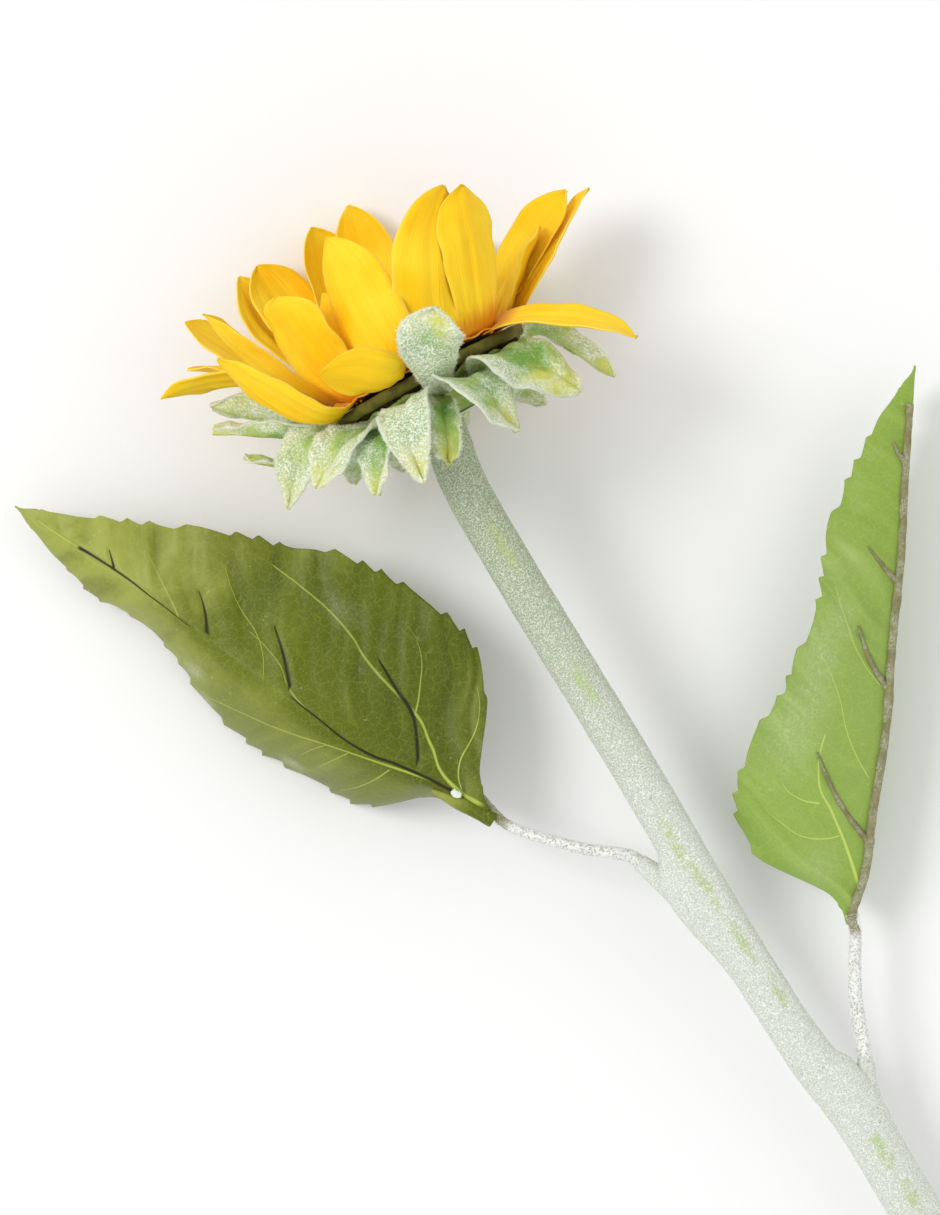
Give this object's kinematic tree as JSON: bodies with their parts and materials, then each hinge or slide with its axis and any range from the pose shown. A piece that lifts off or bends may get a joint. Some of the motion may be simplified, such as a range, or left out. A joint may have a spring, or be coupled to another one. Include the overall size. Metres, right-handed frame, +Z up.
{
  "type": "artificial cut sunflower",
  "caption": "Artificial cut sunflower lying on its side: golden bloom with a dark disc, curled green bracts, a flocked stem and two toothed leaves.",
  "frame": {"origin": "on the surface that the flower lies on, under the middle of its bounding box", "axes": "+Y along the stem from its cut end toward the bloom, +Z up, +X to the right when looking from the cut end toward the bloom"},
  "size_m": [0.2795, 0.5149, 0.1137],
  "materials": {
    "petals": "matt dyed fabric petals, golden yellow with ochre streaks and orange-brown bases",
    "disc": "matt dark brown florets",
    "receptacle": "matt dark olive",
    "bracts": "green fabric with whitish flock and yellow-green tips",
    "stem": "pale grey-green flock over plastic",
    "leaf_blade_left": "olive printed fabric with paler veins",
    "leaf_blade_right": "light green printed fabric, underside out",
    "ribs": "grey-brown plastic with whitish flock near the stem"
  },
  "bodies": {
    "root": {"petals": "petals", "disc": "disc", "receptacle": "receptacle", "bracts": "bracts", "stem": "stem", "leaf_blade_left": "leaf_blade_left", "leaf_blade_right": "leaf_blade_right", "petiole_left": "ribs", "petiole_right": "ribs"}
  },
  "joints": []
}
